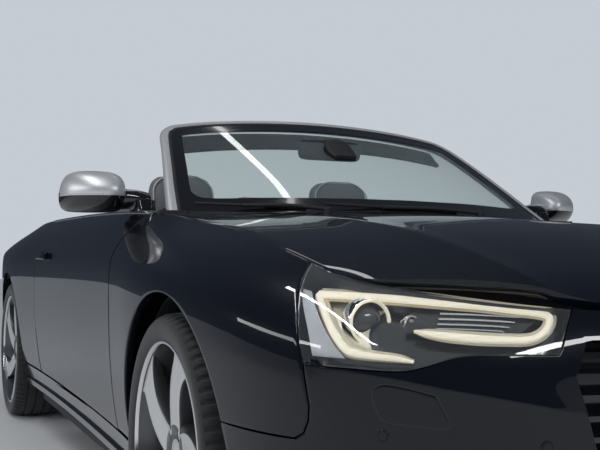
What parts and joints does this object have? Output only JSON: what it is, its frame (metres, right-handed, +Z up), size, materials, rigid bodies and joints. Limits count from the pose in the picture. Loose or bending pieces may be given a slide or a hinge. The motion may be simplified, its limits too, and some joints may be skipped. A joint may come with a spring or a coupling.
{
  "type": "convertible car",
  "caption": "Open two-door car with its soft top stowed, steered front wheels, opening doors, bonnet, boot lid and soft-top lid.",
  "frame": {"origin": "middle of the outline on the ground, between the front and rear wheels", "axes": "+X forward, +Y to the left of the car, +Z up"},
  "size_m": [4.6408, 2.02, 1.3306],
  "materials": {
    "body_paint": "gloss",
    "tub_paint": "satin",
    "black_trim": "matte",
    "gloss_trim": "gloss",
    "silver_trim": "satin",
    "clear_glass": "gloss",
    "lens": "gloss",
    "lamp_inside": "gloss",
    "red_lens": "gloss",
    "leather": "satin",
    "dash_plastic": "matte",
    "wheel_silver": "satin",
    "tyre_rubber": "matte",
    "disc_steel": "brushed",
    "cast_grey": "matte",
    "chrome": "polished"
  },
  "bodies": {
    "car_body": {"body_tub": "tub_paint", "centre_console": "dash_plastic", "dashboard": "dash_plastic", "engine_block": "cast_grey", "exhaust_tips": "chrome", "front_axle": "cast_grey", "front_bumper": "body_paint", "front_rails": "cast_grey", "front_wing_left": "body_paint", "front_wing_right": "body_paint", "grille": "gloss_trim", "headlamp_housings": "lamp_inside", "headlamp_lenses": "lens", "interior_mirror": "black_trim", "rear_axle": "cast_grey", "rear_bumper": "body_paint", "rear_floor": "tub_paint", "rear_quarter_left": "body_paint", "rear_quarter_right": "body_paint", "rear_seat": "leather", "scuttle": "black_trim", "seat_front_left": "leather", "seat_front_right": "leather", "side_sills": "gloss_trim", "tail_lamps": "red_lens", "wheel_liners": "black_trim", "windscreen": "clear_glass", "windscreen_frame": "silver_trim", "wipers": "black_trim"},
    "door_left": {"door_left": "body_paint", "mirror_left": "silver_trim"},
    "door_right": {"door_right": "body_paint", "mirror_right": "silver_trim"},
    "bonnet": {"bonnet": "body_paint"},
    "boot_lid": {"boot_lid": "body_paint"},
    "soft_top_lid": {"soft_top_lid": "body_paint"},
    "steering_wheel": {"steering_wheel": "dash_plastic"},
    "knuckle_left": {"knuckle_left": "cast_grey"},
    "knuckle_right": {"knuckle_right": "cast_grey"},
    "wheel_front_left": {"rim_front_left": "wheel_silver", "tyre_front_left": "tyre_rubber", "disc_front_left": "disc_steel"},
    "wheel_front_right": {"rim_front_right": "wheel_silver", "tyre_front_right": "tyre_rubber", "disc_front_right": "disc_steel"},
    "wheel_rear_left": {"rim_rear_left": "wheel_silver", "tyre_rear_left": "tyre_rubber", "disc_rear_left": "disc_steel"},
    "wheel_rear_right": {"rim_rear_right": "wheel_silver", "tyre_rear_right": "tyre_rubber", "disc_rear_right": "disc_steel"}
  },
  "joints": [
    {"name": "steer_left", "type": "hinge", "parent": "car_body", "child": "knuckle_left", "pos_m": [1.44, 0.787, 0.3335], "axis": [0, 0, 1], "range_deg": [-33, 33]},
    {"name": "steer_right", "type": "hinge", "parent": "car_body", "child": "knuckle_right", "pos_m": [1.44, -0.787, 0.3335], "axis": [0, 0, 1], "range_deg": [-33, 33]},
    {"name": "steering_column", "type": "hinge", "parent": "car_body", "child": "steering_wheel", "pos_m": [0.455, 0.37, 0.83], "axis": [-0.9135, 0, 0.4067], "range_deg": [-496, 496]},
    {"name": "door_left_hinge", "type": "hinge", "parent": "car_body", "child": "door_left", "pos_m": [0.826, 0.876, 0.575], "axis": [0, 0, -1], "range_deg": [0, 62]},
    {"name": "door_right_hinge", "type": "hinge", "parent": "car_body", "child": "door_right", "pos_m": [0.826, -0.876, 0.575], "axis": [0, 0, 1], "range_deg": [0, 62]},
    {"name": "bonnet_hinge", "type": "hinge", "parent": "car_body", "child": "bonnet", "pos_m": [0.935, 0, 0.92], "axis": [0, -1, 0], "range_deg": [0, 50]},
    {"name": "boot_hinge", "type": "hinge", "parent": "car_body", "child": "boot_lid", "pos_m": [-1.63, 0, 0.92488], "axis": [0, 1, 0], "range_deg": [0, 60]},
    {"name": "soft_top_lid_hinge", "type": "hinge", "parent": "car_body", "child": "soft_top_lid", "pos_m": [-1.44, 0, 0.93798], "axis": [0, -1, 0], "range_deg": [0, 70]},
    {"name": "spin_front_left", "type": "hinge", "parent": "knuckle_left", "child": "wheel_front_left", "pos_m": [1.44, 0.787, 0.3335], "axis": [0, 1, 0], "continuous": true},
    {"name": "spin_front_right", "type": "hinge", "parent": "knuckle_right", "child": "wheel_front_right", "pos_m": [1.44, -0.787, 0.3335], "axis": [0, 1, 0], "continuous": true},
    {"name": "spin_rear_left", "type": "hinge", "parent": "car_body", "child": "wheel_rear_left", "pos_m": [-1.311, 0.787, 0.3335], "axis": [0, 1, 0], "continuous": true},
    {"name": "spin_rear_right", "type": "hinge", "parent": "car_body", "child": "wheel_rear_right", "pos_m": [-1.311, -0.787, 0.3335], "axis": [0, 1, 0], "continuous": true}
  ],
  "couplings": [
    {"joint": "steer_right", "follows": "steer_left", "ratio": 1},
    {"joint": "steering_column", "follows": "steer_left", "ratio": 15}
  ]
}
